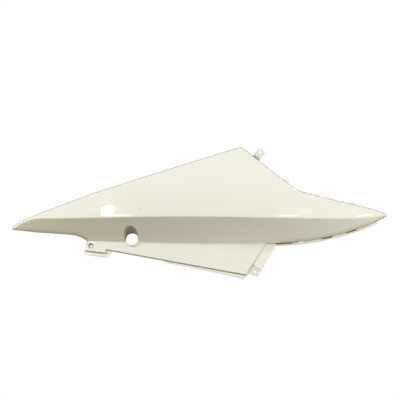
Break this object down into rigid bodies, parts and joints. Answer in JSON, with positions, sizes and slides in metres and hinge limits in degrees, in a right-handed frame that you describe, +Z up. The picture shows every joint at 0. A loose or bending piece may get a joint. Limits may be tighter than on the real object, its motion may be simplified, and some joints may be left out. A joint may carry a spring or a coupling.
{
  "type": "scooter side panel",
  "caption": "Long tapering moulded side panel for a scooter, creased along its length, with a lock hole, screw holes and push-in tongues.",
  "frame": {"origin": "middle of the front screw hole in the skirt, where its countersink ends and the straight bore begins", "axes": "+X rearwards along the scooter, the panel's longest way; +Z up, as in the picture; the painted outer face looks towards -Y"},
  "size_m": [0.7516, 0.1054, 0.2631],
  "materials": {
    "ivory_paint": "ivory gloss paint over a moulded plastic shell"
  },
  "bodies": {
    "root": {"side_panel": "ivory_paint"}
  },
  "joints": []
}
